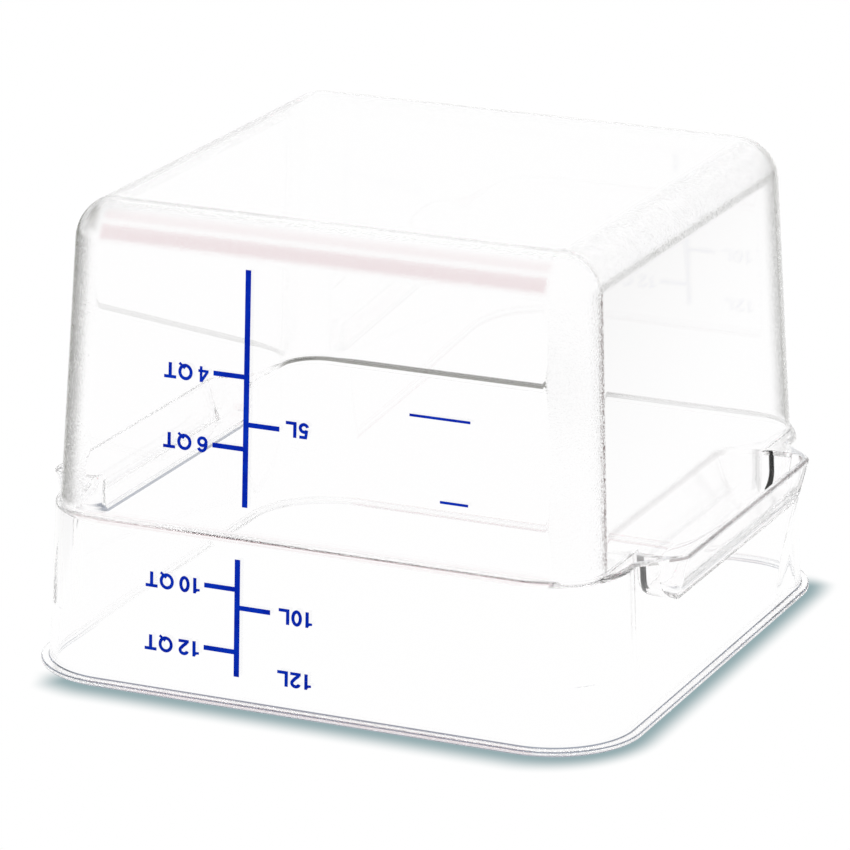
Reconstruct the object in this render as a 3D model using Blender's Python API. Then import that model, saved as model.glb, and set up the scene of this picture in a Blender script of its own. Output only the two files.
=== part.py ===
"""Square food storage tub of clear plastic, standing upside down on its rim.

Metres, +Z up. The origin is on the rim plane, at the middle of the mouth, so the mouth
faces down and the closed base is on top. The two finger grips are on the +X and -X
sides, and the printed volume scale is on the -Y side.
"""
import math

import bmesh
import bpy
from mathutils import Vector

# Overall
TUB_HEIGHT = 0.2120
WALL = 0.0028
BASE_THICKNESS = 0.0032

# Rim flange
FLANGE_WIDTH = 0.2830
FLANGE_REACH = 0.0035
FLANGE_THICKNESS = 0.0025
FLANGE_EDGE_RADIUS = 0.0008

# Wide band between the rim and the shoulder
SHOULDER_HEIGHT = 0.0750
BAND_DRAFT = math.radians(2.35)
BAND_CORNER_RADIUS = 0.0380
SHOULDER_EDGE_RADIUS = 0.0020

# Body between the shoulder and the base, set in from the band by the ledge
LEDGE_WIDTH = 0.0063
BODY_DRAFT = math.radians(3.0)
BODY_CORNER_RADIUS = 0.0200
BASE_EDGE_RADIUS = 0.0180
BASE_CORNER_SHARE = 0.10

# Finger grips: the band swells out at both sides, with a pocket behind the swelling
GRIP_REACH = 0.0171
GRIP_RUNOUT = 0.0219
GRIP_CORNER_LAND = 0.0010
GRIP_FLARE_POWER = 1.4
POCKET_OVERHANG = 0.0045
POCKET_DEPTH = 0.0180
POCKET_OUTER_CORNER = 0.0080
POCKET_INNER_CORNER = 0.0050
POCKET_END_RADIUS = 0.0085
POCKET_SIDE_ROUND_SHARE = 0.20
POCKET_FLOOR_CORNER_SHARE = 0.60
POCKET_END_DRAFT = math.radians(1.0)

# Printed scale, thin ink films on the front face
INK_THICKNESS = 0.0003
INK_GAP = 0.0003
SCALE_OFFSET = -0.0319
SCALE_BAR_WIDTH = 0.0026
SCALE_BASE_MARGIN = 0.0021
SCALE_ABOVE_SHOULDER = 0.0125
SCALE_BELOW_SHOULDER = 0.0068
SCALE_ABOVE_FLANGE = 0.0110
TICK_LENGTH = 0.0158
TICK_WIDTH = 0.0022
UPPER_TICK_SHARES = {"four_quarts": 0.551, "five_litres": 0.352, "six_quarts": 0.247}
LOWER_TICK_SHARES = {"ten_quarts": 0.744, "ten_litres": 0.592, "twelve_quarts": 0.210}

# Plain rules to write on, beside the scale
RULE_WIDTH = 0.0012
RULE_END = 0.0722
UPPER_RULE_LENGTH = 0.0280
LOWER_RULE_LENGTH = 0.0130
UPPER_RULE_SHARE = 0.487
LOWER_RULE_SHARE = 0.141

# Overruns of the cutting tools, and counts of facets
OVERRUN = 0.0050
SEAT_OVERLAP = 0.0001
CORNER_STEPS = 8
POCKET_CORNER_STEPS = 5
EDGE_STEPS = 3
BASE_EDGE_STEPS = 6
FLARE_STEPS = 7
RUNOUT_STEPS = 6
POCKET_ROUND_STEPS = 4
POCKET_WALL_STEPS = 3
SHARP_ANGLE = math.radians(32.0)

BAND_HALF = FLANGE_WIDTH / 2 - FLANGE_REACH
SHOULDER_HALF = BAND_HALF - SHOULDER_HEIGHT * math.tan(BAND_DRAFT)
BODY_HALF = SHOULDER_HALF - LEDGE_WIDTH
GRIP_HALF = SHOULDER_HALF - BAND_CORNER_RADIUS - GRIP_CORNER_LAND - GRIP_RUNOUT
POCKET_FLOOR = SHOULDER_HEIGHT - POCKET_DEPTH
QUARTER_TURN = math.pi / 2


def clear_scene():
    for item in list(bpy.data.objects):
        bpy.data.objects.remove(item, do_unlink=True)


def plastic_material(name, colour, roughness, alpha=1.0, transmission=0.0, ior=1.5):
    material = bpy.data.materials.new(name)
    material.use_nodes = True
    shader = material.node_tree.nodes["Principled BSDF"]
    shader.inputs["Base Color"].default_value = (*colour, 1.0)
    shader.inputs["Roughness"].default_value = roughness
    shader.inputs["Metallic"].default_value = 0.0
    shader.inputs["Transmission Weight"].default_value = transmission
    shader.inputs["IOR"].default_value = ior
    shader.inputs["Alpha"].default_value = alpha
    material.diffuse_color = (*colour, alpha)
    return material


def band_half(height):
    """Half width of the band's outer wall at a height."""
    return BAND_HALF - height * math.tan(BAND_DRAFT)


def body_half(height):
    """Half width of the body's outer wall at a height."""
    return BODY_HALF - (height - SHOULDER_HEIGHT) * math.tan(BODY_DRAFT)


def swell(height):
    """How far a grip stands out of the band's wall at a height."""
    return GRIP_REACH * (max(height, 0.0) / SHOULDER_HEIGHT) ** GRIP_FLARE_POWER


def smooth_step(share):
    return share * share * (3 - 2 * share)


def quarter_round(radius, steps):
    """Inset and rise, point by point, of a convex quarter round from a wall to its top."""
    rounds = []
    for step in range(steps + 1):
        angle = step / steps * QUARTER_TURN
        rounds.append((radius * (1 - math.cos(angle)), radius * math.sin(angle)))
    return rounds


def arc(centre, radius, start, steps):
    """Points of a quarter circle that turns left from a start angle."""
    points = []
    for step in range(steps + 1):
        angle = start + step / steps * QUARTER_TURN
        points.append((centre[0] + radius * math.cos(angle), centre[1] + radius * math.sin(angle)))
    return points


def grip_side(half, reach, inset):
    """The +X side of an outline, from -Y to +Y, with the swelling of the grip."""
    full = GRIP_HALF - inset
    end = full + GRIP_RUNOUT
    points = []
    for step in range(RUNOUT_STEPS + 1):
        share = step / RUNOUT_STEPS
        points.append((half + reach * smooth_step(share), -end + (end - full) * share))
    return points + [(across, -along) for across, along in reversed(points)]


def outline(half, radius, height, side=()):
    """A square with round corners, whose two X sides run through the points of a side."""
    centre = half - radius
    points = list(side) + arc((centre, centre), radius, 0.0, CORNER_STEPS)
    points += arc((-centre, centre), radius, QUARTER_TURN, CORNER_STEPS)
    points += [(-across, -along) for across, along in side]
    points += arc((-centre, -centre), radius, 2 * QUARTER_TURN, CORNER_STEPS)
    points += arc((centre, -centre), radius, 3 * QUARTER_TURN, CORNER_STEPS)
    return [Vector((across, along, height)) for across, along in points]


def band_outline(half, radius, height, reach=0.0, inset=0.0):
    """One outline of the band, with its grips swelling out by a reach."""
    return outline(half, radius, height, grip_side(half, reach, inset))


def loft(name, rings):
    """A closed solid through a stack of outlines that have the same number of points."""
    mesh = bmesh.new()
    stack = [[mesh.verts.new(point) for point in ring] for ring in rings]
    count = len(rings[0])
    for lower, upper in zip(stack[:-1], stack[1:]):
        for index in range(count):
            after = (index + 1) % count
            mesh.faces.new((lower[index], lower[after], upper[after], upper[index]))
    mesh.faces.new(list(reversed(stack[0])))
    mesh.faces.new(stack[-1])
    bmesh.ops.recalc_face_normals(mesh, faces=mesh.faces)
    data = bpy.data.meshes.new(name)
    mesh.to_mesh(data)
    mesh.free()
    item = bpy.data.objects.new(name, data)
    bpy.context.scene.collection.objects.link(item)
    return item


def combine(item, tool, operation):
    """Joins a tool to an item, or cuts the item with it, and leaves the tool as a guide."""
    tool.hide_render = True
    tool.display_type = "WIRE"
    change = item.modifiers.new(operation.title() + " " + tool.name, "BOOLEAN")
    change.operation = operation
    change.solver = "EXACT"
    change.object = tool


def flange_rings():
    half = FLANGE_WIDTH / 2
    radius = BAND_CORNER_RADIUS + FLANGE_REACH
    edge = quarter_round(FLANGE_EDGE_RADIUS, EDGE_STEPS)
    rings = []
    for inset, rise in reversed(edge):
        rings.append(band_outline(half - inset, radius - inset, FLANGE_EDGE_RADIUS - rise))
    for inset, rise in edge:
        height = FLANGE_THICKNESS - FLANGE_EDGE_RADIUS + rise
        rings.append(band_outline(half - inset, radius - inset, height))
    return rings


def flare_heights(bottom, top):
    """Heights that follow the grip's flare, closer together near the top."""
    return [bottom + (top - bottom) * math.sqrt(step / FLARE_STEPS) for step in range(FLARE_STEPS + 1)]


def band_outside():
    rings = flange_rings()
    edge_start = SHOULDER_HEIGHT - SHOULDER_EDGE_RADIUS
    for height in flare_heights(FLANGE_THICKNESS, edge_start):
        rings.append(band_outline(band_half(height), BAND_CORNER_RADIUS, height, swell(height)))
    for inset, rise in quarter_round(SHOULDER_EDGE_RADIUS, EDGE_STEPS)[1:]:
        height = edge_start + rise
        half = band_half(height) - inset
        rings.append(band_outline(half, BAND_CORNER_RADIUS - inset, height, swell(height)))
    return loft("band_outside", rings)


def band_inside():
    radius = BAND_CORNER_RADIUS - WALL
    rings = [band_outline(band_half(-OVERRUN) - WALL, radius, -OVERRUN, 0.0, WALL)]
    for height in flare_heights(0.0, SHOULDER_HEIGHT - WALL):
        rings.append(band_outline(band_half(height) - WALL, radius, height, swell(height), WALL))
    return loft("band_inside", rings)


def body_block(name, bottom, wall, base):
    """The drafted body with its round base edge, made smaller by a wall and a base."""
    radius = BODY_CORNER_RADIUS - wall
    edge_radius = BASE_EDGE_RADIUS - wall
    edge_start = TUB_HEIGHT - base - edge_radius
    rings = [outline(body_half(bottom) - wall, radius, bottom)]
    for inset, rise in quarter_round(edge_radius, BASE_EDGE_STEPS):
        height = edge_start + rise
        corner = radius * (1 - (1 - BASE_CORNER_SHARE) * inset / edge_radius)
        rings.append(outline(body_half(height) - wall - inset, corner, height))
    return loft(name, rings)


def pocket_outline(facing, height, draw, growth):
    """One outline of the finger space, drawn in at its ends where they round into the floor."""
    side_draw = draw * POCKET_SIDE_ROUND_SHARE
    inner = body_half(height) - SEAT_OVERLAP - growth + side_draw
    outer = band_half(height) + swell(height) - WALL + 2 * growth - side_draw
    slope = (SHOULDER_HEIGHT - height) * math.tan(POCKET_END_DRAFT)
    end = GRIP_HALF + POCKET_OVERHANG + growth - slope - draw
    corner_share = 1 - (1 - POCKET_FLOOR_CORNER_SHARE) * draw / (POCKET_END_RADIUS + growth)
    inner_corner = (POCKET_INNER_CORNER + growth) * corner_share
    outer_corner = (POCKET_OUTER_CORNER + growth) * corner_share
    steps = POCKET_CORNER_STEPS
    points = arc((outer - outer_corner, end - outer_corner), outer_corner, 0.0, steps)
    points += arc((inner + inner_corner, end - inner_corner), inner_corner, QUARTER_TURN, steps)
    points += arc((inner + inner_corner, inner_corner - end), inner_corner, 2 * QUARTER_TURN, steps)
    points += arc((outer - outer_corner, outer_corner - end), outer_corner, 3 * QUARTER_TURN, steps)
    return [Vector((facing * across, facing * along, height)) for across, along in points]


def pocket(name, facing, growth):
    """The finger space behind a grip, made larger all round by a growth."""
    radius = POCKET_END_RADIUS + growth
    wall_start = POCKET_FLOOR - growth + radius
    rings = []
    for draw, drop in reversed(quarter_round(radius, POCKET_ROUND_STEPS)):
        rings.append(pocket_outline(facing, wall_start - drop, draw, growth))
    wall_height = SHOULDER_HEIGHT + OVERRUN - wall_start
    for step in range(1, POCKET_WALL_STEPS + 1):
        height = wall_start + wall_height * step / POCKET_WALL_STEPS
        rings.append(pocket_outline(facing, height, 0.0, growth))
    return loft(name, rings)


def tub_shell(material):
    band = band_outside()
    body = body_block("body_outside", POCKET_FLOOR - WALL / 2, 0.0, 0.0)
    hollow = band_inside()
    body_hollow = body_block("body_inside", POCKET_FLOOR / 2, WALL, BASE_THICKNESS)
    for facing, side in ((1, "right"), (-1, "left")):
        combine(band, pocket("pocket_" + side, facing, 0.0), "DIFFERENCE")
        combine(hollow, pocket("pocket_wall_" + side, facing, WALL), "DIFFERENCE")
    combine(band, body, "UNION")
    combine(hollow, body_hollow, "UNION")
    combine(band, hollow, "DIFFERENCE")
    band.name = "tub_shell"
    band.data.name = "tub_shell"
    band.data.materials.append(material)
    band.data.shade_smooth()
    band.data.set_sharp_from_angle(angle=SHARP_ANGLE)
    return band


def front_point(across, height, lift, on_body):
    """A point on the -Y face at a height, lifted off it by a small distance."""
    draft = BODY_DRAFT if on_body else BAND_DRAFT
    half = body_half(height) if on_body else band_half(height)
    return Vector((across, -half - lift * math.cos(draft), height + lift * math.sin(draft)))


def ink_film(name, shape, material, on_body):
    """A thin film over a shape of (across, height) points on the front face."""
    rings = []
    for lift in (INK_GAP, INK_GAP + INK_THICKNESS):
        rings.append([front_point(across, height, lift, on_body) for across, height in shape])
    film = loft(name, rings)
    film.data.materials.append(material)
    return film


def scale_outline(bottom, top, ticks):
    """A vertical bar with level ticks: quart ticks on its left, litre ticks on its right."""
    half_bar = SCALE_BAR_WIDTH / 2
    half_tick = TICK_WIDTH / 2
    right = [(SCALE_OFFSET + half_bar, bottom)]
    left = [(SCALE_OFFSET - half_bar, bottom)]
    for name, share in sorted(ticks.items(), key=lambda tick: tick[1]):
        height = bottom + (top - bottom) * share
        side, edge = (1, right) if name.endswith("litres") else (-1, left)
        root = SCALE_OFFSET + side * half_bar
        tip = SCALE_OFFSET + side * TICK_LENGTH
        edge += [(root, height - half_tick), (tip, height - half_tick)]
        edge += [(tip, height + half_tick), (root, height + half_tick)]
    right.append((SCALE_OFFSET + half_bar, top))
    left.append((SCALE_OFFSET - half_bar, top))
    return right + left[::-1]


def rule_outline(length, height):
    half_width = RULE_WIDTH / 2
    start = RULE_END - length
    return [(start, height - half_width), (RULE_END, height - half_width),
            (RULE_END, height + half_width), (start, height + half_width)]


def printed_marks(material):
    upper_bottom = SHOULDER_HEIGHT + SCALE_ABOVE_SHOULDER
    upper_top = TUB_HEIGHT - BASE_EDGE_RADIUS - SCALE_BASE_MARGIN
    lower_bottom = FLANGE_THICKNESS + SCALE_ABOVE_FLANGE
    lower_top = SHOULDER_HEIGHT - SHOULDER_EDGE_RADIUS - SCALE_BELOW_SHOULDER
    ink_film("scale_upper", scale_outline(upper_bottom, upper_top, UPPER_TICK_SHARES), material, True)
    ink_film("scale_lower", scale_outline(lower_bottom, lower_top, LOWER_TICK_SHARES), material, False)
    rules = (("writing_rule_upper", UPPER_RULE_LENGTH, UPPER_RULE_SHARE),
             ("writing_rule_lower", LOWER_RULE_LENGTH, LOWER_RULE_SHARE))
    for name, length, share in rules:
        height = upper_bottom + (upper_top - upper_bottom) * share
        ink_film(name, rule_outline(length, height), material, True)


def main():
    clear_scene()
    clear_plastic = plastic_material("clear_plastic", (0.98, 0.97, 0.98), 0.06, 0.25, 0.9, 1.58)
    blue_ink = plastic_material("blue_ink", (0.01, 0.05, 0.42), 0.45)
    tub_shell(clear_plastic)
    printed_marks(blue_ink)


main()
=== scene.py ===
"""Looks for a clear square storage tub that stands upside down on its rim."""
import math
from types import SimpleNamespace

import bmesh
import bpy
from mathutils import Matrix, Vector
from mathutils.geometry import delaunay_2d_cdt


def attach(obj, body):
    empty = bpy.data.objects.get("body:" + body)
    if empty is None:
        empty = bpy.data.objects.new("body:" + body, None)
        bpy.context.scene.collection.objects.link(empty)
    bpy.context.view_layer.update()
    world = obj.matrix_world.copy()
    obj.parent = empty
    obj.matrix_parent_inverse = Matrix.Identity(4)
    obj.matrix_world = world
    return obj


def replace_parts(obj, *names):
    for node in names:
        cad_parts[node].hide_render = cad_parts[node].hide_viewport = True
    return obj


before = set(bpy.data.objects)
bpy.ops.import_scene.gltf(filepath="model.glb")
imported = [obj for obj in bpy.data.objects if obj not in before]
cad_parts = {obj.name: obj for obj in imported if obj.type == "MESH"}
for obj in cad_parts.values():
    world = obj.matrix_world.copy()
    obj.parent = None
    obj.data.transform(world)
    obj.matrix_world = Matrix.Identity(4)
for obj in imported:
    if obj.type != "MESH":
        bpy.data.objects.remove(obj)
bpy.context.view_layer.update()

# Sizes shared with the solids, in metres
TUB_HEIGHT = 0.2120
WALL = 0.0028
BASE_THICKNESS = 0.0032
FLANGE_WIDTH = 0.2830
FLANGE_REACH = 0.0035
FLANGE_THICKNESS = 0.0025
FLANGE_EDGE_RADIUS = 0.0008
SHOULDER_HEIGHT = 0.0750
BAND_DRAFT = math.radians(2.35)
BAND_CORNER_RADIUS = 0.0380
SHOULDER_EDGE_RADIUS = 0.0020
LEDGE_WIDTH = 0.0063
BODY_DRAFT = math.radians(3.0)
BODY_CORNER_RADIUS = 0.0200
BASE_EDGE_RADIUS = 0.0180
BASE_CORNER_SHARE = 0.10
GRIP_REACH = 0.01703
GRIP_RUNOUT = 0.0219
GRIP_CORNER_LAND = 0.0010
GRIP_FLARE_POWER = 1.4
POCKET_OVERHANG = 0.0045
POCKET_DEPTH = 0.0180
POCKET_OUTER_CORNER = 0.0080
POCKET_INNER_CORNER = 0.0050
POCKET_END_RADIUS = 0.0085
POCKET_SIDE_ROUND_SHARE = 0.20
POCKET_FLOOR_CORNER_SHARE = 0.60
POCKET_END_DRAFT = math.radians(1.0)

# Small moulded radii that only the looks have
FLANGE_FILLET = 0.0008
RIM_INNER_RADIUS = 0.0006
LEDGE_FOOT_RADIUS = 0.0010
LEDGE_INNER_RADIUS = 0.0012
POCKET_MOUTH_RADIUS = 0.0007
FOOT_START = 0.0010
FOOT_RUN = 0.0035

# Printed marks, in metres on the front face
INK_GAP = 0.00004
INK_THICKNESS = 0.00004
SCALE_OFFSET = -0.0319
SCALE_BAR_WIDTH = 0.0026
UPPER_BAR = (0.0875, 0.1919)
LOWER_BAR = (0.0135, 0.0662)
TICK_LENGTH = 0.0158
TICK_WIDTH = 0.0022
UPPER_TICKS = ((0.551, -1), (0.352, 1), (0.247, -1))
LOWER_TICKS = ((0.744, -1), (0.592, 1), (0.210, -1))
RULE_END = 0.0722
RULE_WIDTH = 0.0012
RULES = (("writing_rule_upper", 0.0280, 0.487), ("writing_rule_lower", 0.0130, 0.141))

# Figures and unit signs: name, text, start and base in metres, and whether they lie on the body
LABELS = (
    ("label_4_quarts", "4 QT", -0.0500, 0.14730, True),
    ("label_5_litres", "5L", -0.0022, 0.12840, True),
    ("label_6_quarts", "6 QT", -0.0500, 0.11635, True),
    ("label_10_quarts", "10 QT", -0.0498, 0.05520, False),
    ("label_10_litres", "10L", 0.0038, 0.04745, False),
    ("label_12_quarts", "12 QT", -0.0499, 0.02665, False),
    ("label_12_litres", "12L", 0.0037, 0.01960, False),
)

# Height, strokes and gaps of a figure, in millimetres
FIGURE_HEIGHT = 7.0
STEM_WIDTH = 1.58
BAR_WIDTH = 1.44
LETTER_GAP = 1.0
FIGURE_GAP = 1.7
WORD_GAP = 2.7
MILLIMETRE = 0.001

# Camera, as worked out from the photograph; angles in degrees, lens and sensor in millimetres
CAMERA_PLACE = (0.9109, -2.0637, 0.7999)
CAMERA_BACK = (0.38678, -0.87225, 0.29931)
CAMERA_TURN = 23.9136
CAMERA_ROLL = 0.1917
CAMERA_LENS = 223.87
CAMERA_SENSOR = 36.0

# Room that only the plastic sees: tones by the angle in degrees from the front's horizon over the top
WHITE = (1.0, 1.0, 1.0, 1.0)
ROSE_DARK = (0.40, 0.0, 0.05, 1.0)
ROSE_PALE = (0.75, 0.55, 0.57, 1.0)
ROOM_TONES = ((10, WHITE), (11, ROSE_DARK), (50, ROSE_DARK), (52, WHITE), (65, WHITE), (69, ROSE_PALE),
              (98, ROSE_PALE), (102, WHITE))
ROOM_LEFT = (0.16, 0.15, 0.12, 1.0)
ROOM_LEFT_SPAN = (-0.65, -0.80)
ROOM_LEFT_RISE_SPAN = (0.30, 0.38)
ROSE_SPAN = (-0.52, -0.25, 0.05)

# Floor: its size, what lies beside its white part, and the drawn shade under the flange
FLOOR_HALF = 6.0
FLOOR_GAP = 0.0001
FLOOR_FAR = (0.12, 0.12, 0.10, 1.0)
FLOOR_TURN = 23.9136
LIT_HALF = 0.22
LIT_SPREAD_LEFT = 0.10
LIT_SPREAD_RIGHT = 0.75
LIT_SPREAD_FRONT = 3.0
LIT_FADE = 0.30
SHADE_START_SPAN = (-0.008, -0.005)
SHADE_FRONT = 0.0205
SHADE_RIGHT = 0.0125
SHADE_SIDE_SPAN = (0.0, 0.50)
SHADE_CORNER_SHARE = 0.5
SHADE_COLOUR = (0.31, 0.42, 0.44, 1.0)
SMALLEST = 0.0001
LIGHT_BOUNCES = 256

# Clear plastic. A span is a low and a high end, with the fade beyond them or the values at both ends
CLEAR_TINT = (0.998, 0.996, 0.997, 1.0)
CLEAR_IOR = 1.585
LINE_FADE = 0.0003
EDGE_LEAN_SPAN = (0.25, 0.80, 0.08)
# Painted shade: dark blue-grey laid on the flange's round edges and along the left pocket's floor
RIM_PAINTED_SHADE = (0.10, 0.12, 0.17, 1.0)
RIM_LINE = 0.0030
RIM_NEAR_SPAN = (-0.09, -0.04, 0.12, 1.0)
# Painted shade: dark speckle laid on the body's left side and front-left corner
LEFT_PAINTED_SHADE = (0.06, 0.06, 0.045, 1.0)
LEFT_LEAN_SPAN = (-0.20, -0.75)
LEFT_SPECKLE_SPAN = (0.44, 0.56, 0.35, 1.0)
# Painted shade: dark line laid along the right grip's round top edge
GRIP_PAINTED_SHADE = (0.25, 0.22, 0.22, 1.0)
GRIP_LINE = 0.1460
# Painted shade: dark line laid where the body's front-right corner meets the right wall
CORNER_PAINTED_SHADE = (0.10, 0.07, 0.07, 1.0)
CORNER_LEAN_SPAN = (0.986, 0.9965, 0.0015)
CORNER_SPECKLE_SPAN = (0.47, 0.53)
FRONT_LEAN = -0.05
# Painted shade: black laid in the round corners at the right pocket's ends
POCKET_PAINTED_SHADE = (0.0, 0.0, 0.0, 1.0)
POCKET_ALONG_SPAN = (0.0730, 0.0820, LINE_FADE)
POCKET_ACROSS_SPAN = (0.1250, 0.1360, LINE_FADE)
POCKET_LEAN_SPAN = (0.15, 0.45, 0.04)
POCKET_FLOOR_ACROSS_SPAN = (-0.1360, -0.1250, LINE_FADE)
POCKET_FLOOR_LEAN_SPAN = (0.30, 0.60, 0.04)
POCKET_FLOOR_RISE = 0.0040
# Painted shade: dark line laid along the body's foot at the back ledge
FOOT_PAINTED_SHADE = (0.06, 0.06, 0.05, 1.0)
FOOT_HEIGHT_SPAN = (0.0745, 0.0759, LINE_FADE)
FOOT_BACK_SPAN = (0.100, 0.110)
FOOT_RIGHT_SPAN = (0.010, 0.050, 1.0, 0.4)
COAT_IOR = 1.8
COAT_START_SPAN = (0.10, 0.20)
COAT_END_SPAN = (0.75, 0.88, 1.0, 0.0)
GRAIN_TURN_SPAN = (0.985, 0.9988, 1.0, 0.0)
GRAIN_UPRIGHT_SPAN = (0.08, 0.35, 1.0, 0.5)
GRAIN_FADE = 0.004
GRAIN_SCALE = 1500.0
GRAIN_DETAIL = 1.0
GRAIN_HEIGHT = 0.00014
RIPPLE_SCALE = 30.0
RIPPLE_STRENGTH = 0.01
RIPPLE_HEIGHT = 0.001

# Ink
INK_DEEP = (0.0003, 0.0135, 0.37, 1.0)
INK_LIGHT = (0.0010, 0.029, 0.46, 1.0)
INK_CLOUD = (90.0, 3.0, 0.6)
INK_CLOUD_SPAN = (0.3, 0.7)
INK_GRAIN_SCALE = 1500.0
INK_ROUGHNESS_SPAN = (0.2, 0.8, 0.42, 0.62)
INK_SPECULAR = 0.02

# Overruns of the cutting tools, and counts of facets
OVERRUN = 0.0050
SEAT_OVERLAP = 0.00002
CORNER_STEPS = 26
POCKET_CORNER_STEPS = 12
EDGE_STEPS = 6
BASE_EDGE_STEPS = 18
FLARE_STEPS = 24
RUNOUT_STEPS = 26
BODY_SIDE_STEPS = 120
POCKET_ROUND_STEPS = 12
POCKET_WALL_STEPS = 10
FLARE_SPACING_POWER = 0.7
ARC_STEP = 9
FLAT_WALL_WEIGHT = 90
SHARP_ANGLE = math.radians(30.0)
MERGE_DISTANCE = 0.000001

FLANGE_CORNER_RADIUS = BAND_CORNER_RADIUS + FLANGE_REACH
BAND_HALF = FLANGE_WIDTH / 2 - FLANGE_REACH
SHOULDER_HALF = BAND_HALF - SHOULDER_HEIGHT * math.tan(BAND_DRAFT)
BODY_HALF = SHOULDER_HALF - LEDGE_WIDTH
GRIP_HALF = SHOULDER_HALF - BAND_CORNER_RADIUS - GRIP_CORNER_LAND - GRIP_RUNOUT
POCKET_END = GRIP_HALF + POCKET_OVERHANG
POCKET_FLOOR = SHOULDER_HEIGHT - POCKET_DEPTH
LEDGE_UNDERSIDE = SHOULDER_HEIGHT - WALL
QUARTER_TURN = math.pi / 2


def band_half(height):
    """Half width of the band's outer wall at a height."""
    return BAND_HALF - height * math.tan(BAND_DRAFT)


def body_half(height):
    """Half width of the body's outer wall at a height."""
    return BODY_HALF - (height - SHOULDER_HEIGHT) * math.tan(BODY_DRAFT)


def swell(height):
    """How far a grip stands out of the band's wall at a height."""
    return GRIP_REACH * (max(height, 0.0) / SHOULDER_HEIGHT) ** GRIP_FLARE_POWER


def smooth_step(share):
    share = min(max(share, 0.0), 1.0)
    return share * share * (3 - 2 * share)


def quarter_round(radius, steps):
    """Inset and rise, point by point, of a convex quarter round from a wall to its top."""
    rounds = []
    for step in range(steps + 1):
        angle = step / steps * QUARTER_TURN
        rounds.append((radius * (1 - math.cos(angle)), radius * math.sin(angle)))
    return rounds


def hollow_round(radius, steps):
    """Outset and rise, point by point, of a concave quarter round from a floor to a wall."""
    rounds = []
    for step in range(steps + 1):
        angle = step / steps * QUARTER_TURN
        rounds.append((radius * (1 - math.sin(angle)), radius * (1 - math.cos(angle))))
    return rounds


def arc(centre, radius, start, steps):
    """Points of a quarter circle that turns left from a start angle."""
    points = []
    for step in range(steps + 1):
        angle = start + step / steps * QUARTER_TURN
        points.append((centre[0] + radius * math.cos(angle), centre[1] + radius * math.sin(angle)))
    return points


def outline(half, radius, height, side):
    """A square with round corners, whose two X sides run through the points of a side."""
    centre = half - radius
    points = list(side) + arc((centre, centre), radius, 0.0, CORNER_STEPS)
    points += arc((-centre, centre), radius, QUARTER_TURN, CORNER_STEPS)
    points += [(-across, -along) for across, along in side]
    points += arc((-centre, -centre), radius, 2 * QUARTER_TURN, CORNER_STEPS)
    points += arc((centre, -centre), radius, 3 * QUARTER_TURN, CORNER_STEPS)
    return [Vector((across, along, height)) for across, along in points]


def band_outline(half, radius, height, reach=0.0, inset=0.0):
    """One outline of the band, with its grips swelling out by a reach."""
    full = GRIP_HALF - inset
    end = full + GRIP_RUNOUT
    side = []
    for step in range(RUNOUT_STEPS + 1):
        share = step / RUNOUT_STEPS
        side.append((half + reach * smooth_step(share), -end + (end - full) * share))
    side += [(across, -along) for across, along in reversed(side)]
    return outline(half, radius, height, side)


def body_outline(half, radius, height, outset=0.0, clear=0.0):
    """One outline of the body, set out at its foot except behind the grips."""
    straight = half - radius
    side = []
    for step in range(1, BODY_SIDE_STEPS):
        along = straight * (2 * step / BODY_SIDE_STEPS - 1)
        share = smooth_step((abs(along) - clear) / FOOT_RUN)
        side.append((half + outset * share, along))
    return outline(half + outset, radius + outset, height, side)


def mesh_object(name, mesh):
    """A new object in the scene, made from a finished mesh."""
    data = bpy.data.meshes.new(name)
    mesh.to_mesh(data)
    mesh.free()
    item = bpy.data.objects.new(name, data)
    bpy.context.scene.collection.objects.link(item)
    return item


def loft(name, rings):
    """A closed solid through a stack of outlines that have the same number of points."""
    mesh = bmesh.new()
    stack = [[mesh.verts.new(point) for point in ring] for ring in rings]
    count = len(rings[0])
    for lower, upper in zip(stack[:-1], stack[1:]):
        for index in range(count):
            after = (index + 1) % count
            mesh.faces.new((lower[index], lower[after], upper[after], upper[index]))
    mesh.faces.new(list(reversed(stack[0])))
    mesh.faces.new(stack[-1])
    bmesh.ops.recalc_face_normals(mesh, faces=mesh.faces)
    return mesh_object(name, mesh)


def combine(item, tool, operation):
    """Joins a tool to an item, or cuts the item with it."""
    change = item.modifiers.new(operation.title() + " " + tool.name, "BOOLEAN")
    change.operation = operation
    change.solver = "EXACT"
    change.object = tool


def apply_changes(item, tools):
    """Keeps the combined shape as the item's own mesh, and removes the tools."""
    graph = bpy.context.evaluated_depsgraph_get()
    data = bpy.data.meshes.new_from_object(item.evaluated_get(graph))
    item.modifiers.clear()
    item.data = data
    for tool in tools:
        bpy.data.objects.remove(tool, do_unlink=True)


def flange_rings():
    half = FLANGE_WIDTH / 2
    radius = FLANGE_CORNER_RADIUS
    edge = quarter_round(FLANGE_EDGE_RADIUS, EDGE_STEPS)
    rings = []
    for inset, rise in reversed(edge):
        rings.append(band_outline(half - inset, radius - inset, FLANGE_EDGE_RADIUS - rise))
    for inset, rise in edge:
        height = FLANGE_THICKNESS - FLANGE_EDGE_RADIUS + rise
        rings.append(band_outline(half - inset, radius - inset, height))
    return rings


def flare_heights(bottom, top):
    """Heights that follow the grip's flare, closer together near the top."""
    heights = []
    for step in range(FLARE_STEPS + 1):
        heights.append(bottom + (top - bottom) * (step / FLARE_STEPS) ** FLARE_SPACING_POWER)
    return heights


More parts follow.
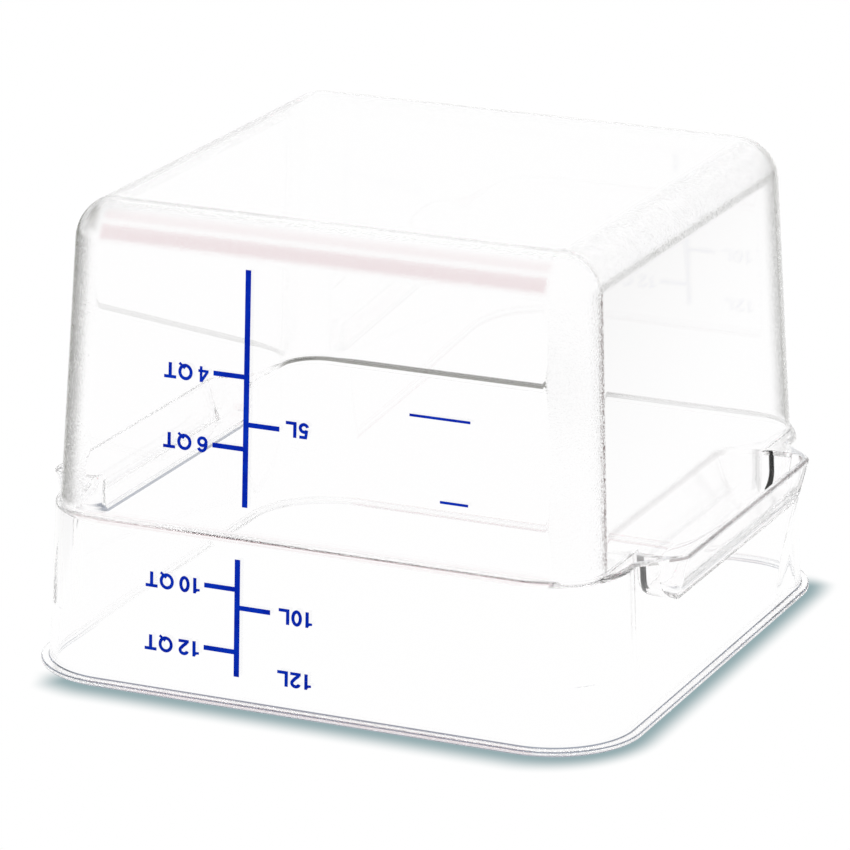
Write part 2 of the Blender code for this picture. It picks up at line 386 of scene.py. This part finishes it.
def band_outside():
    rings = flange_rings()
    for outset, rise in hollow_round(FLANGE_FILLET, EDGE_STEPS):
        height = FLANGE_THICKNESS + rise
        half = band_half(height) + outset
        rings.append(band_outline(half, BAND_CORNER_RADIUS + outset, height, swell(height)))
    edge_start = SHOULDER_HEIGHT - SHOULDER_EDGE_RADIUS
    for height in flare_heights(FLANGE_THICKNESS + FLANGE_FILLET, edge_start)[1:]:
        rings.append(band_outline(band_half(height), BAND_CORNER_RADIUS, height, swell(height)))
    for inset, rise in quarter_round(SHOULDER_EDGE_RADIUS, EDGE_STEPS)[1:]:
        height = edge_start + rise
        half = band_half(height) - inset
        rings.append(band_outline(half, BAND_CORNER_RADIUS - inset, height, swell(height)))
    return loft("band_outside", rings)


def band_inside():
    radius = BAND_CORNER_RADIUS - WALL
    half = band_half(0.0) - WALL + RIM_INNER_RADIUS
    rings = [band_outline(half, radius + RIM_INNER_RADIUS, -OVERRUN, 0.0, WALL)]
    for outset, drop in reversed(quarter_round(RIM_INNER_RADIUS, EDGE_STEPS)):
        height = RIM_INNER_RADIUS - drop
        half = band_half(height) - WALL + outset
        rings.append(band_outline(half, radius + outset, height, swell(height), WALL))
    for height in flare_heights(RIM_INNER_RADIUS, LEDGE_UNDERSIDE)[1:]:
        rings.append(band_outline(band_half(height) - WALL, radius, height, swell(height), WALL))
    return loft("band_inside", rings)


def body_block(name, floor, bottom, wall, base, foot, clear):
    """The drafted body, with a foot that spreads at a floor, made smaller by a wall and a base."""
    radius = BODY_CORNER_RADIUS - wall
    edge_radius = BASE_EDGE_RADIUS - wall
    edge_start = TUB_HEIGHT - base - edge_radius
    rings = [body_outline(body_half(bottom) - wall, radius, bottom, foot, clear)]
    for outset, rise in hollow_round(foot, EDGE_STEPS):
        half = body_half(floor + rise) - wall
        rings.append(body_outline(half, radius, floor + rise, outset, clear))
    for inset, rise in quarter_round(edge_radius, BASE_EDGE_STEPS):
        height = edge_start + rise
        corner = radius * (1 - (1 - BASE_CORNER_SHARE) * inset / edge_radius)
        rings.append(body_outline(body_half(height) - wall - inset, corner, height))
    return loft(name, rings)


def pocket_outline(facing, height, draw, growth, outset=0.0):
    """One outline of the finger space, drawn in at its ends where they round into the floor."""
    side_draw = draw * POCKET_SIDE_ROUND_SHARE
    inner = body_half(height) - SEAT_OVERLAP - growth + side_draw - outset
    outer = band_half(height) + swell(height) - WALL + 2 * growth - side_draw + outset
    slope = (SHOULDER_HEIGHT - height) * math.tan(POCKET_END_DRAFT)
    end = POCKET_END + growth - slope - draw + outset
    corner_share = 1 - (1 - POCKET_FLOOR_CORNER_SHARE) * draw / (POCKET_END_RADIUS + growth)
    inner_corner = (POCKET_INNER_CORNER + growth) * corner_share + outset
    outer_corner = (POCKET_OUTER_CORNER + growth) * corner_share + outset
    steps = POCKET_CORNER_STEPS
    points = arc((outer - outer_corner, end - outer_corner), outer_corner, 0.0, steps)
    points += arc((inner + inner_corner, end - inner_corner), inner_corner, QUARTER_TURN, steps)
    points += arc((inner + inner_corner, inner_corner - end), inner_corner, 2 * QUARTER_TURN, steps)
    points += arc((outer - outer_corner, outer_corner - end), outer_corner, 3 * QUARTER_TURN, steps)
    return [Vector((facing * across, facing * along, height)) for across, along in points]


def pocket(name, facing, growth, mouth):
    """The finger space behind a grip, made larger all round by a growth, with a round mouth."""
    radius = POCKET_END_RADIUS + growth
    wall_start = POCKET_FLOOR - growth + radius
    wall_end = SHOULDER_HEIGHT - mouth
    rings = []
    for draw, drop in reversed(quarter_round(radius, POCKET_ROUND_STEPS)):
        rings.append(pocket_outline(facing, wall_start - drop, draw, growth))
    for step in range(1, POCKET_WALL_STEPS + 1):
        height = wall_start + (wall_end - wall_start) * step / POCKET_WALL_STEPS
        rings.append(pocket_outline(facing, height, 0.0, growth))
    if mouth:
        for outset, rise in quarter_round(mouth, EDGE_STEPS)[1:]:
            rings.append(pocket_outline(facing, wall_end + rise, 0.0, growth, outset))
    rings.append(pocket_outline(facing, SHOULDER_HEIGHT + OVERRUN, 0.0, growth, mouth))
    return loft(name, rings)


def clear_shell():
    """The moulded tub as one thin shell with its small radii."""
    shell = band_outside()
    shell.name = "clear_tub"
    foot_clear = POCKET_END + FOOT_START
    body = body_block("body_outside", SHOULDER_HEIGHT, POCKET_FLOOR - WALL / 2, 0.0, 0.0,
                      LEDGE_FOOT_RADIUS, foot_clear)
    hollow = band_inside()
    body_hollow = body_block("body_inside", LEDGE_UNDERSIDE, POCKET_FLOOR / 2, WALL, BASE_THICKNESS,
                             LEDGE_INNER_RADIUS, foot_clear + WALL)
    tools = [body, hollow, body_hollow]
    for facing, side in ((1, "right"), (-1, "left")):
        space = pocket("pocket_" + side, facing, 0.0, POCKET_MOUTH_RADIUS)
        space_wall = pocket("pocket_wall_" + side, facing, WALL, 0.0)
        combine(shell, space, "DIFFERENCE")
        combine(hollow, space_wall, "DIFFERENCE")
        tools += [space, space_wall]
    combine(shell, body, "UNION")
    combine(hollow, body_hollow, "UNION")
    combine(shell, hollow, "DIFFERENCE")
    apply_changes(shell, tools)
    mesh = bmesh.new()
    mesh.from_mesh(shell.data)
    bmesh.ops.remove_doubles(mesh, verts=mesh.verts, dist=MERGE_DISTANCE)
    bmesh.ops.triangulate(mesh, faces=[face for face in mesh.faces if len(face.verts) > 4])
    mesh.to_mesh(shell.data)
    mesh.free()
    shell.data.shade_smooth()
    shell.data.set_sharp_from_angle(angle=SHARP_ANGLE)
    normals = shell.modifiers.new("Flat walls", "WEIGHTED_NORMAL")
    normals.keep_sharp = True
    normals.weight = FLAT_WALL_WEIGHT
    return shell


def front_point(across, height, lift, on_body):
    """A point on the -Y face at a height, lifted off it by a small distance."""
    draft = BODY_DRAFT if on_body else BAND_DRAFT
    half = body_half(height) if on_body else band_half(height)
    return Vector((across, -half - lift * math.cos(draft), height + lift * math.sin(draft)))


# Strokes of the figures, in millimetres to the right and up from a figure's lower left corner
def bend(centre, reach, rise, start, end):
    """Points of an elliptical arc between two angles in degrees."""
    steps = round(abs(end - start) / ARC_STEP)
    points = []
    for step in range(steps + 1):
        angle = math.radians(start + (end - start) * step / steps)
        points.append((centre[0] + reach * math.cos(angle), centre[1] + rise * math.sin(angle)))
    return points


def stroke(path, width, closed=False):
    """Quads of a stroke with a constant width along a path."""
    count = len(path)
    sides = []
    for index, point in enumerate(path):
        before = path[index - 1] if index or closed else path[0]
        after = path[(index + 1) % count] if index + 1 < count or closed else path[-1]
        along = Vector(after) - Vector(before)
        along.normalize()
        across = Vector((-along.y, along.x)) * (width / 2)
        sides.append((Vector(point) + across, Vector(point) - across))
    quads = []
    for index in range(count if closed else count - 1):
        first, second = sides[index], sides[(index + 1) % count]
        quads.append([first[0], first[1], second[1], second[0]])
    return quads


def polygon(*points):
    return [Vector(point) for point in points]


def box(left, bottom, right, top):
    return [polygon((left, bottom), (right, bottom), (right, top), (left, top))]


def figure_strokes(sign):
    """The width of a sign and its strokes."""
    top = FIGURE_HEIGHT
    bar = BAR_WIDTH
    stem = STEM_WIDTH
    if sign == "T":
        return 5.8, box(0, top - bar, 5.8, top) + box(2.9 - stem / 2, 0, 2.9 + stem / 2, top - bar / 2)
    if sign == "L":
        return 5.1, box(0, 0, stem, top) + box(stem / 2, 0, 5.1, bar)
    if sign == "1":
        flag = polygon((0, 4.75), (2.4, 4.75), (2.4, 6.3), (1.15, 5.95), (0, 5.8))
        cap = polygon((1.0, 5.85), (3.2, 5.5), (3.2, top), (1.95, top), (1.6, 6.3))
        return 3.2, box(3.2 - stem, 0, 3.2, top - bar / 2) + [flag, cap]
    if sign == "4":
        slope = polygon((0, 2.6), (0, 1.45), (1.3, 2.2), (3.3, 5.2), (3.3, top), (2.9, top))
        return 4.9, box(0, 1.45, 4.9, 2.65) + box(2.9, 0, 4.2, top) + [slope]
    if sign == "0":
        return 4.9, stroke(bend((2.45, 3.5), 1.76, 2.9, 0, 351), stem - 0.04, closed=True)
    if sign == "2":
        path = bend((2.45, 4.85), 1.75, 1.5, 170, -30) + [(2.75, 2.75), (1.35, 1.65), (0.75, 0.55)]
        return 5.1, stroke(path, bar + 0.06) + box(0.03, 0, 5.0, bar - 0.06)
    if sign == "5":
        path = bend((2.35, 2.3), 1.75, 1.65, 140, -165)
        return 4.85, (stroke(path, bar + 0.04) + box(1.0, top - bar + 0.05, 4.5, top)
                      + stroke([(1.55, top - 0.3), (1.05, 3.0)], bar - 0.06))
    if sign == "6":
        ring = stroke(bend((2.5, 2.3), 1.78, 1.68, 0, 351), bar + 0.04, closed=True)
        return 5.0, ring + stroke(bend((2.75, 3.4), 2.05, 2.95, 188, 38), bar + 0.02)
    if sign == "Q":
        ring = stroke(bend((3.4, 3.5), 2.68, 2.9, 0, 351), bar + 0.06, closed=True)
        return 6.8, ring + stroke([(3.6, 1.9), (6.35, -0.25)], bar - 0.2)
    return 0.0, []


def label_polygons(text, start, base):
    """Strokes of a line of figures that reads upside down, from its start towards -X."""
    polygons = []
    cursor = 0.0
    gap = 0.0
    for sign in text:
        if sign == " ":
            gap = WORD_GAP
            continue
        if sign in "TL":
            gap = LETTER_GAP
        width, strokes = figure_strokes(sign)
        cursor += gap
        for points in strokes:
            polygons.append([(start - (cursor + point.x) * MILLIMETRE, base - point.y * MILLIMETRE)
                             for point in points])
        cursor += width
        gap = FIGURE_GAP
    return polygons


def ink_film(name, polygons, on_body, material):
    """One thin film of ink that fills all the polygons, close on the front wall."""
    points = []
    faces = []
    for corners in polygons:
        faces.append(list(range(len(points), len(points) + len(corners))))
        points += [Vector(corner) / MILLIMETRE for corner in corners]
    flat, _, triangles, _, _, covers = delaunay_2d_cdt(points, [], faces, 0, SMALLEST)
    triangles = [triangle for triangle, cover in zip(triangles, covers) if cover]
    mesh = bmesh.new()
    layers = []
    for lift in (INK_GAP, INK_GAP + INK_THICKNESS):
        layer = []
        for point in flat:
            place = front_point(point.x * MILLIMETRE, point.y * MILLIMETRE, lift, on_body)
            layer.append(mesh.verts.new(place))
        layers.append(layer)
    uses = {}
    for triangle in triangles:
        mesh.faces.new([layers[1][index] for index in triangle])
        mesh.faces.new([layers[0][index] for index in reversed(triangle)])
        for first, second in zip(triangle, triangle[1:] + triangle[:1]):
            uses[(first, second)] = True
    for first, second in uses:
        if (second, first) not in uses:
            mesh.faces.new((layers[1][second], layers[1][first], layers[0][first], layers[0][second]))
    for vertex in [vertex for vertex in mesh.verts if not vertex.link_faces]:
        mesh.verts.remove(vertex)
    bmesh.ops.recalc_face_normals(mesh, faces=mesh.faces)
    film = mesh_object(name, mesh)
    film.data.materials.append(material)
    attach(film, "root")
    return film


def rectangle(left, right, bottom, top):
    return [(left, bottom), (right, bottom), (right, top), (left, top)]


def scale_polygons(bar, ticks):
    """A vertical bar with level ticks to its left and right."""
    bottom, top = bar
    half = SCALE_BAR_WIDTH / 2
    polygons = [rectangle(SCALE_OFFSET - half, SCALE_OFFSET + half, bottom, top)]
    for share, side in ticks:
        height = bottom + (top - bottom) * share
        ends = sorted((SCALE_OFFSET, SCALE_OFFSET + side * TICK_LENGTH))
        polygons.append(rectangle(ends[0], ends[1], height - TICK_WIDTH / 2, height + TICK_WIDTH / 2))
    return polygons


def printed_marks():
    ink = ink_material()
    upper = ink_film("ink_scale_upper", scale_polygons(UPPER_BAR, UPPER_TICKS), True, ink)
    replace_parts(upper, "scale_upper")
    lower = ink_film("ink_scale_lower", scale_polygons(LOWER_BAR, LOWER_TICKS), False, ink)
    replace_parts(lower, "scale_lower")
    for name, length, share in RULES:
        height = UPPER_BAR[0] + (UPPER_BAR[1] - UPPER_BAR[0]) * share
        rule = rectangle(RULE_END - length, RULE_END, height - RULE_WIDTH / 2, height + RULE_WIDTH / 2)
        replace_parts(ink_film("ink_" + name, [rule], True, ink), name)
    for name, text, start, base, on_body in LABELS:
        ink_film(name, label_polygons(text, start, base), on_body, ink)


# Material nodes
def node(tree, kind, **values):
    made = tree.nodes.new(kind)
    for name, value in values.items():
        setattr(made, name, value)
    return made


def plug(tree, socket, value):
    """Sets a socket to a plain value, or links it to another socket."""
    if isinstance(value, bpy.types.NodeSocket):
        tree.links.new(value, socket)
    else:
        socket.default_value = value


def maths(tree, operation, *values):
    made = node(tree, "ShaderNodeMath", operation=operation)
    for socket, value in zip(made.inputs, values):
        plug(tree, socket, value)
    return made.outputs[0]


def product(tree, *values):
    """Several values multiplied together."""
    total = values[0]
    for value in values[1:]:
        total = maths(tree, "MULTIPLY", total, value)
    return total


def split_vector(tree, vector):
    """The X, Y and Z parts of a vector."""
    parts = node(tree, "ShaderNodeSeparateXYZ")
    plug(tree, parts.inputs[0], vector)
    return [parts.outputs[axis] for axis in "XYZ"]


def ease(tree, value, low, high, start=0.0, end=1.0):
    """A smooth change from a start to an end as a value goes from low to high."""
    made = node(tree, "ShaderNodeMapRange", interpolation_type="SMOOTHSTEP")
    plug(tree, made.inputs["Value"], value)
    made.inputs["From Min"].default_value = low
    made.inputs["From Max"].default_value = high
    made.inputs["To Min"].default_value = start
    made.inputs["To Max"].default_value = end
    return made.outputs["Result"]


def blend_colours(tree, share, first, second):
    made = node(tree, "ShaderNodeMix", data_type="RGBA")
    for name, value in (("Factor_Float", share), ("A_Color", first), ("B_Color", second)):
        socket = next(item for item in made.inputs if item.identifier == name)
        plug(tree, socket, value)
    return next(item for item in made.outputs if item.identifier == "Result_Color")


def between(tree, value, low, high, fade):
    """One where a value lies between two others, easing to zero outside them."""
    return product(tree, ease(tree, value, low - fade, low), ease(tree, value, high, high + fade, 1.0, 0.0))


def new_material(name):
    material = bpy.data.materials.new(name)
    material.use_nodes = True
    return material, material.node_tree, material.node_tree.nodes["Principled BSDF"]


def noise(tree, vector, scale, detail=2.0, roughness=0.5):
    made = node(tree, "ShaderNodeTexNoise")
    plug(tree, made.inputs["Vector"], vector)
    made.inputs["Scale"].default_value = scale
    made.inputs["Detail"].default_value = detail
    made.inputs["Roughness"].default_value = roughness
    return made.outputs["Fac"]


def surface_measures(tree):
    """Where a point of the tub lies, how its surface leans, and a fine noise there."""
    place = node(tree, "ShaderNodeTexCoord")
    x, y, height = split_vector(tree, place.outputs["Object"])
    facing_x, facing_y, facing_z = split_vector(tree, place.outputs["Normal"])
    return SimpleNamespace(
        place=place.outputs["Object"],
        x=x,
        y=y,
        height=height,
        from_middle=maths(tree, "ABSOLUTE", y),
        facing_x=facing_x,
        to_front=maths(tree, "LESS_THAN", facing_y, FRONT_LEAN),
        lean_x=maths(tree, "ABSOLUTE", facing_x),
        lean_y=maths(tree, "ABSOLUTE", facing_y),
        lean_z=maths(tree, "ABSOLUTE", facing_z),
        on_body=ease(tree, height, SHOULDER_HEIGHT, SHOULDER_HEIGHT + GRAIN_FADE),
        speckle=noise(tree, place.outputs["Object"], GRAIN_SCALE, GRAIN_DETAIL),
    )


def painted_rim_shade(tree, at):
    """Painted shade along the round edges of the flange, fainter at the back and left."""
    near = maths(tree, "SUBTRACT", at.x, at.y)
    low = ease(tree, at.height, RIM_LINE, RIM_LINE + LINE_FADE, 1.0, 0.0)
    return product(tree, between(tree, at.lean_z, *EDGE_LEAN_SPAN), low, ease(tree, near, *RIM_NEAR_SPAN))


def painted_left_shade(tree, at):
    """Painted shade on the body's left side and front-left corner, speckled."""
    leaning = ease(tree, at.facing_x, *LEFT_LEAN_SPAN)
    return product(tree, leaning, at.to_front, at.on_body, ease(tree, at.speckle, *LEFT_SPECKLE_SPAN))


def painted_grip_shade(tree, at):
    """Painted shade along the round top edge of the right grip."""
    edge_start = SHOULDER_HEIGHT - SHOULDER_EDGE_RADIUS
    return product(tree, ease(tree, at.x, GRIP_LINE - LINE_FADE, GRIP_LINE),
                   ease(tree, at.height, edge_start - LINE_FADE, edge_start),
                   between(tree, at.lean_z, *EDGE_LEAN_SPAN))


def painted_corner_shade(tree, at):
    """Painted shade along the line where the body's front-right corner meets the right wall, speckled."""
    leaning = between(tree, at.facing_x, *CORNER_LEAN_SPAN)
    on_right = maths(tree, "GREATER_THAN", at.x, 0.0)
    return product(tree, leaning, at.to_front, on_right, at.on_body,
                   ease(tree, at.speckle, *CORNER_SPECKLE_SPAN))


def painted_pocket_floor_shade(tree, at):
    """Painted shade along the round foot of the left pocket's long walls."""
    inside = ease(tree, at.from_middle, GRIP_HALF, POCKET_END, 1.0, 0.0)
    low = between(tree, at.height, POCKET_FLOOR - WALL, POCKET_FLOOR + POCKET_FLOOR_RISE, LINE_FADE)
    return product(tree, between(tree, at.x, *POCKET_FLOOR_ACROSS_SPAN),
                   between(tree, at.lean_z, *POCKET_FLOOR_LEAN_SPAN), inside, low)


def painted_ledge_foot_shade(tree, at):
    """Painted shade along the foot of the body by the back ledge, fainter to the right."""
    return product(tree, between(tree, at.height, *FOOT_HEIGHT_SPAN), ease(tree, at.y, *FOOT_BACK_SPAN),
                   ease(tree, at.x, *FOOT_RIGHT_SPAN))


def painted_pocket_end_shade(tree, at):
    """Painted shade in the round corners at both ends of the right pocket."""
    return product(tree, between(tree, at.from_middle, *POCKET_ALONG_SPAN),
                   between(tree, at.height, POCKET_FLOOR, SHOULDER_HEIGHT, LINE_FADE),
                   between(tree, at.x, *POCKET_ACROSS_SPAN), between(tree, at.lean_x, *POCKET_LEAN_SPAN))


def clear_colour_and_painted_shade(tree, at):
    """Clear all over, with dark painted shade along a few edges."""
    tint_and_painted_shade = CLEAR_TINT
    for edge, colour in ((painted_rim_shade, RIM_PAINTED_SHADE), (painted_left_shade, LEFT_PAINTED_SHADE), (painted_grip_shade, GRIP_PAINTED_SHADE),
                         (painted_corner_shade, CORNER_PAINTED_SHADE), (painted_pocket_floor_shade, RIM_PAINTED_SHADE),
                         (painted_ledge_foot_shade, FOOT_PAINTED_SHADE), (painted_pocket_end_shade, POCKET_PAINTED_SHADE)):
        tint_and_painted_shade = blend_colours(tree, edge(tree, at), tint_and_painted_shade, colour)
    return tint_and_painted_shade


def clear_relief(tree, at):
    """A slight ripple all over, and a fine grain where the body's walls turn a corner."""
    largest = maths(tree, "MAXIMUM", maths(tree, "MAXIMUM", at.lean_x, at.lean_y), at.lean_z)
    turning = ease(tree, largest, *GRAIN_TURN_SPAN)
    upright = ease(tree, at.lean_z, *GRAIN_UPRIGHT_SPAN)
    grain = node(tree, "ShaderNodeBump")
    grain.inputs["Distance"].default_value = GRAIN_HEIGHT
    plug(tree, grain.inputs["Strength"], product(tree, turning, at.on_body, upright))
    plug(tree, grain.inputs["Height"], at.speckle)
    ripple = node(tree, "ShaderNodeBump")
    ripple.inputs["Strength"].default_value = RIPPLE_STRENGTH
    ripple.inputs["Distance"].default_value = RIPPLE_HEIGHT
    plug(tree, ripple.inputs["Height"], noise(tree, at.place, RIPPLE_SCALE))
    plug(tree, ripple.inputs["Normal"], grain.outputs["Normal"])
    return ripple.outputs["Normal"]


def clear_material():
    """Clear moulded plastic, glossier on the round edges of the body, with painted shade along a few edges.
    """
    material, tree, shader = new_material("clear_polycarbonate")
    shader.inputs["Transmission Weight"].default_value = 1.0
    shader.inputs["IOR"].default_value = CLEAR_IOR
    shader.inputs["Roughness"].default_value = 0.0
    shader.inputs["Coat IOR"].default_value = COAT_IOR
    shader.inputs["Coat Roughness"].default_value = 0.0
    at = surface_measures(tree)
    relief = clear_relief(tree, at)
    coat = product(tree, ease(tree, at.lean_z, *COAT_START_SPAN), ease(tree, at.lean_z, *COAT_END_SPAN),
                   at.on_body)
    plug(tree, shader.inputs["Base Color"], clear_colour_and_painted_shade(tree, at))
    plug(tree, shader.inputs["Normal"], relief)
    plug(tree, shader.inputs["Coat Normal"], relief)
    plug(tree, shader.inputs["Coat Weight"], coat)
    return material


def ink_material():
    """Deep blue ink, laid down a little unevenly."""
    material, tree, shader = new_material("blue_print")
    place = node(tree, "ShaderNodeTexCoord")
    cloud = noise(tree, place.outputs["Object"], *INK_CLOUD)
    tone = blend_colours(tree, ease(tree, cloud, *INK_CLOUD_SPAN), INK_DEEP, INK_LIGHT)
    plug(tree, shader.inputs["Base Color"], tone)
    grain = noise(tree, place.outputs["Object"], INK_GRAIN_SCALE)
    plug(tree, shader.inputs["Roughness"], ease(tree, grain, *INK_ROUGHNESS_SPAN))
    shader.inputs["Specular IOR Level"].default_value = INK_SPECULAR
    return material


def seen_in_plastic(tree):
    """The light path, and one for a ray that a glossy or clear surface sends on, and zero for others."""
    path = node(tree, "ShaderNodeLightPath")
    return path, maths(tree, "MAXIMUM", path.outputs["Is Glossy Ray"], path.outputs["Is Transmission Ray"])


def build_camera():
    """The camera stands where the photograph was taken from."""
    data = bpy.data.cameras.new("camera")
    data.lens = CAMERA_LENS
    data.sensor_width = CAMERA_SENSOR
    camera = bpy.data.objects.new("camera", data)
    bpy.context.scene.collection.objects.link(camera)
    turn = math.radians(CAMERA_TURN)
    roll = math.radians(CAMERA_ROLL)
    back = Vector(CAMERA_BACK).normalized()
    level = Vector((math.cos(turn), math.sin(turn), 0.0))
    rise = back.cross(level)
    right = level * math.cos(roll) + rise * math.sin(roll)
    up = rise * math.cos(roll) - level * math.sin(roll)
    pose = Matrix((right, up, back)).transposed().to_4x4()
    pose.translation = Vector(CAMERA_PLACE)
    camera.matrix_world = pose
    bpy.context.scene.camera = camera


def contact_shade(tree, x, y, path):
    """The soft shade on the floor under the flange, in front of the tub and to its right."""
    straight = FLANGE_WIDTH / 2 - FLANGE_CORNER_RADIUS
    across = maths(tree, "MAXIMUM", maths(tree, "SUBTRACT", maths(tree, "ABSOLUTE", x), straight), 0.0)
    deep = maths(tree, "MAXIMUM", maths(tree, "SUBTRACT", maths(tree, "ABSOLUTE", y), straight), 0.0)
    squares = maths(tree, "ADD", product(tree, across, across), product(tree, deep, deep))
    away = maths(tree, "SUBTRACT", maths(tree, "SQRT", squares), FLANGE_CORNER_RADIUS)
    total = maths(tree, "ADD", maths(tree, "ADD", across, deep), SMALLEST)
    turned = maths(tree, "SUBTRACT", product(tree, across, maths(tree, "SIGN", x)),
                   product(tree, deep, maths(tree, "SIGN", y)))
    side = ease(tree, maths(tree, "DIVIDE", turned, total), *SHADE_SIDE_SPAN)
    facing = maths(tree, "DIVIDE", across, total)
    reach = product(tree, ease(tree, facing, 0.0, 1.0, SHADE_FRONT, SHADE_RIGHT),
                    ease(tree, side, 0.0, 1.0, SHADE_CORNER_SHARE, 1.0))
    depth = ease(tree, maths(tree, "DIVIDE", away, reach), 0.0, 1.0, 1.0, 0.0)
    direct = maths(tree, "SUBTRACT", 1.0, path.outputs["Is Glossy Ray"])
    return product(tree, ease(tree, away, *SHADE_START_SPAN), side, depth, direct)


def dark_floor(tree, x, y, path):
    """The far floor beside its white part, seen only as a mirror image in the plastic."""
    turn = math.radians(FLOOR_TURN)
    right = maths(tree, "ADD", maths(tree, "MULTIPLY", x, math.cos(turn)),
                  maths(tree, "MULTIPLY", y, math.sin(turn)))
    along = maths(tree, "SUBTRACT", maths(tree, "MULTIPLY", y, math.cos(turn)),
                  maths(tree, "MULTIPLY", x, math.sin(turn)))
    behind = maths(tree, "MAXIMUM", along, 0.0)
    before = maths(tree, "MAXIMUM", maths(tree, "MULTIPLY", along, -1.0), 0.0)
    on_right = maths(tree, "GREATER_THAN", right, 0.0)
    spread = ease(tree, on_right, 0.0, 1.0, LIT_SPREAD_LEFT, LIT_SPREAD_RIGHT)
    wider = maths(tree, "ADD", product(tree, behind, spread), product(tree, before, LIT_SPREAD_FRONT))
    beyond = maths(tree, "SUBTRACT", maths(tree, "ABSOLUTE", right), maths(tree, "ADD", LIT_HALF, wider))
    mirrored = maths(tree, "GREATER_THAN", path.outputs["Is Glossy Ray"],
                     path.outputs["Is Transmission Ray"])
    return product(tree, ease(tree, maths(tree, "DIVIDE", beyond, LIT_FADE), 0.0, 1.0), mirrored)


def floor_material():
    """A white floor that glows for the camera and the plastic, with a drawn shade for its shadow."""
    material, tree, shader = new_material("white_floor")
    tree.nodes.remove(shader)
    place = node(tree, "ShaderNodeTexCoord")
    x, y, _ = split_vector(tree, place.outputs["Object"])
    path, plastic = seen_in_plastic(tree)
    lit = blend_colours(tree, dark_floor(tree, x, y, path), WHITE, FLOOR_FAR)
    glow = node(tree, "ShaderNodeEmission")
    plug(tree, glow.inputs["Color"],
         blend_colours(tree, contact_shade(tree, x, y, path), lit, SHADE_COLOUR))
    paint = node(tree, "ShaderNodeBsdfDiffuse")
    paint.inputs["Color"].default_value = WHITE
    mix = node(tree, "ShaderNodeMixShader")
    plug(tree, mix.inputs[0], maths(tree, "MAXIMUM", plastic, path.outputs["Is Camera Ray"]))
    plug(tree, mix.inputs[1], paint.outputs[0])
    plug(tree, mix.inputs[2], glow.outputs[0])
    plug(tree, tree.nodes["Material Output"].inputs["Surface"], mix.outputs[0])
    return material


def build_floor():
    mesh = bmesh.new()
    bmesh.ops.create_grid(mesh, x_segments=1, y_segments=1, size=FLOOR_HALF)
    floor = mesh_object("floor", mesh)
    floor.data.materials.append(floor_material())
    floor.location.z = -FLOOR_GAP


def build_world():
    """White light all round, and a room with rose and dark parts that only the plastic sees."""
    world = bpy.data.worlds.new("studio")
    bpy.context.scene.world = world
    world.use_nodes = True
    tree = world.node_tree
    tree.nodes.clear()
    place = node(tree, "ShaderNodeTexCoord")
    x, y, height = split_vector(tree, place.outputs["Generated"])
    over = maths(tree, "ARCTAN2", height, maths(tree, "MULTIPLY", y, -1.0))
    ramp = node(tree, "ShaderNodeValToRGB")
    plug(tree, ramp.inputs["Fac"], maths(tree, "DIVIDE", over, math.pi))
    for angle, colour in ROOM_TONES:
        ramp.color_ramp.elements.new(angle / 180.0).color = colour
    ramp.color_ramp.elements[0].color = WHITE
    ramp.color_ramp.elements[-1].color = WHITE
    front = blend_colours(tree, between(tree, x, *ROSE_SPAN), WHITE, ramp.outputs["Color"])
    left = product(tree, ease(tree, x, *ROOM_LEFT_SPAN), ease(tree, height, *ROOM_LEFT_RISE_SPAN))
    room = blend_colours(tree, left, front, ROOM_LEFT)
    path, plastic = seen_in_plastic(tree)
    direct = maths(tree, "LESS_THAN", path.outputs["Diffuse Depth"], 0.5)
    glow = node(tree, "ShaderNodeBackground")
    plug(tree, glow.inputs["Color"], blend_colours(tree, product(tree, plastic, direct), WHITE, room))
    out = node(tree, "ShaderNodeOutputWorld")
    plug(tree, out.inputs["Surface"], glow.outputs[0])


build_camera()
build_floor()
build_world()

shell = clear_shell()
shell.data.materials.clear()
shell.data.materials.append(clear_material())
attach(shell, "root")
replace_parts(shell, "tub_shell")
printed_marks()

bpy.context.scene.view_settings.view_transform = "Standard"
bpy.context.scene.cycles.max_bounces = LIGHT_BOUNCES
bpy.context.scene.cycles.glossy_bounces = LIGHT_BOUNCES
bpy.context.scene.cycles.transmission_bounces = LIGHT_BOUNCES
